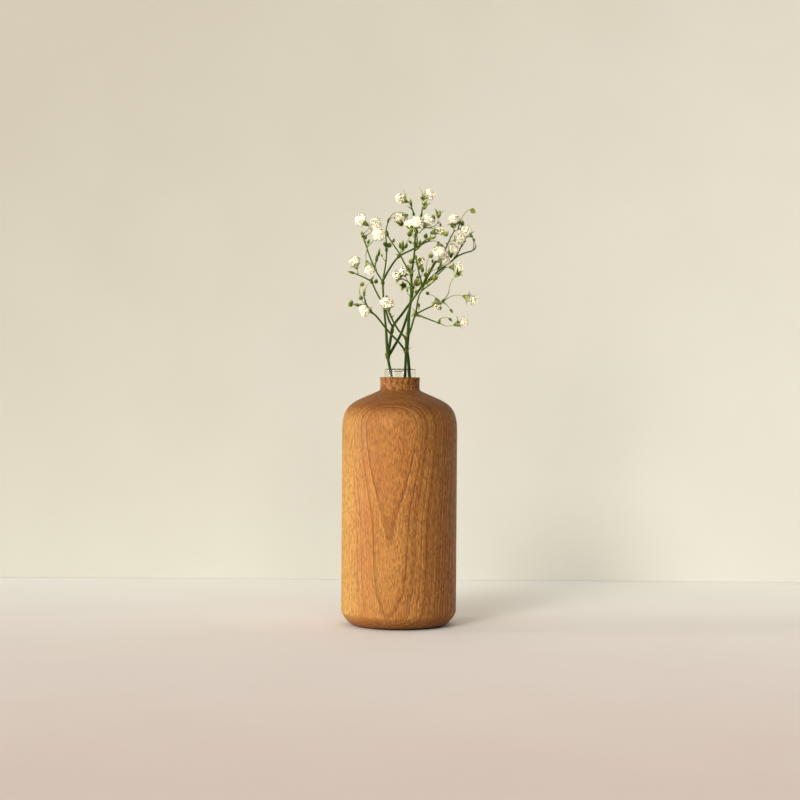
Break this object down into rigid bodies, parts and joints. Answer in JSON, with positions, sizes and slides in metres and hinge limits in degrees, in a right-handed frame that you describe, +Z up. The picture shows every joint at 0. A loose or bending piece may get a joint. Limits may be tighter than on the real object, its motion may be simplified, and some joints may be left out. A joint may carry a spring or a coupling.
{
  "type": "bud vase",
  "caption": "Turned wooden bottle-shaped bud vase with a narrow neck, a lift-out glass tube in its bore and sprigs of small white double flowers on thin branching green stems.",
  "frame": {"origin": "centre of the flat base, on the surface that the vase stands on", "axes": "+Z up along the turning axis, +X to the right and -Y towards the viewer of the picture"},
  "size_m": [0.0706, 0.06, 0.2283],
  "materials": {
    "beech": "oiled satin, fine dark flecks and flame figure",
    "clear_glass": "clear polished",
    "stem": "matte green plant stem",
    "petal": "soft matte white petals"
  },
  "bodies": {
    "wooden_body": {"wooden_body": "beech"},
    "glass_tube": {"glass_tube": "clear_glass"},
    "left_sprig": {"left_sprig_stem": "stem", "left_sprig_bloom_1": "petal", "left_sprig_bloom_2": "petal", "left_sprig_bloom_3": "petal", "left_sprig_bloom_4": "petal", "left_sprig_bloom_5": "petal", "left_sprig_bloom_6": "petal", "left_sprig_bloom_7": "petal", "left_sprig_bloom_8": "petal", "left_sprig_bloom_9": "petal", "left_sprig_bloom_10": "petal", "left_sprig_bloom_11": "petal", "left_sprig_bloom_12": "petal", "left_sprig_bloom_13": "petal", "left_sprig_bloom_14": "petal", "left_sprig_bloom_15": "petal"},
    "centre_sprig": {"centre_sprig_stem": "stem", "centre_sprig_bloom_1": "petal", "centre_sprig_bloom_2": "petal"},
    "right_sprig": {"right_sprig_stem": "stem", "right_sprig_bloom_1": "petal", "right_sprig_bloom_2": "petal", "right_sprig_bloom_3": "petal", "right_sprig_bloom_4": "petal", "right_sprig_bloom_5": "petal", "right_sprig_bloom_6": "petal", "right_sprig_bloom_7": "petal", "right_sprig_bloom_8": "petal", "right_sprig_bloom_9": "petal", "right_sprig_bloom_10": "petal"}
  },
  "joints": [
    {"name": "tube_lift", "type": "slide", "parent": "wooden_body", "child": "glass_tube", "axis": [0, 0, 1], "range_m": [0, 0.098]},
    {"name": "left_sprig_pull", "type": "slide", "parent": "glass_tube", "child": "left_sprig", "axis": [-0.0373, 0, 0.9993], "range_m": [0, 0.099]},
    {"name": "centre_sprig_pull", "type": "slide", "parent": "glass_tube", "child": "centre_sprig", "axis": [0.0011, 0, 1], "range_m": [0, 0.099]},
    {"name": "right_sprig_pull", "type": "slide", "parent": "glass_tube", "child": "right_sprig", "axis": [0.0267, 0, 0.9996], "range_m": [0, 0.099]}
  ]
}
